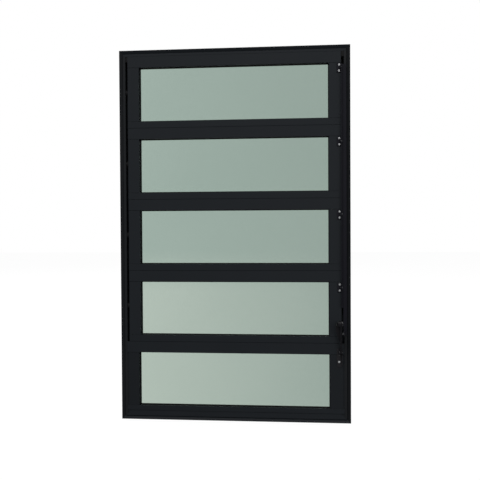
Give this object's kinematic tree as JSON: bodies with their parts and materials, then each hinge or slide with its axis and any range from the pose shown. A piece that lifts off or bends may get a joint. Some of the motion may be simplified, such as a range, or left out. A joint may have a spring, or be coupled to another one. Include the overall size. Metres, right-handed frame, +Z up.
{
  "type": "pivot window",
  "caption": "Black aluminium window: level sashes that turn about side pins, joined by a link bar and lever at the right, above a fixed light, with tinted glass.",
  "frame": {"origin": "middle of the sill's flat underside, under the middle of the frame's depth", "axes": "+Z up, +X to the right seen from the room, +Y from the room towards outdoors"},
  "size_m": [0.62, 0.1042, 1],
  "materials": {
    "frame": "satin black coat",
    "sash": "satin black coat",
    "bead": "satin black coat",
    "stop": "satin black coat",
    "linkage": "satin black coat",
    "lever": "satin black coat",
    "rivet": "blackened",
    "nylon": "moulded",
    "gasket": "matt",
    "glass": "clear, grey-green tint"
  },
  "bodies": {
    "root": {"head": "frame", "sill": "frame", "left_jamb": "frame", "right_jamb": "frame", "sash_1_top_rail": "sash", "sash_1_bottom_rail": "sash", "sash_1_left_stile": "sash", "sash_1_right_stile": "sash", "sash_1_glass": "glass", "sash_1_gasket": "gasket", "sash_2_top_rail": "sash", "sash_2_bottom_rail": "sash", "sash_2_left_stile": "sash", "sash_2_right_stile": "sash", "sash_2_glass": "glass", "sash_2_gasket": "gasket", "sash_3_top_rail": "sash", "sash_3_bottom_rail": "sash", "sash_3_left_stile": "sash", "sash_3_right_stile": "sash", "sash_3_glass": "glass", "sash_3_gasket": "gasket", "sash_4_top_rail": "sash", "sash_4_bottom_rail": "sash", "sash_4_left_stile": "sash", "sash_4_right_stile": "sash", "sash_4_glass": "glass", "sash_4_gasket": "gasket", "transom": "sash", "fixed_bottom_rail": "sash", "fixed_left_stile": "sash", "fixed_right_stile": "sash", "fixed_glass": "glass", "fixed_gasket": "gasket", "glazing_beads": "bead", "frame_stops": "stop", "pivots": "nylon", "link_brackets": "linkage", "link_bar": "linkage", "link_rivets": "rivet", "lever": "lever", "lever_base": "lever"}
  },
  "joints": []
}
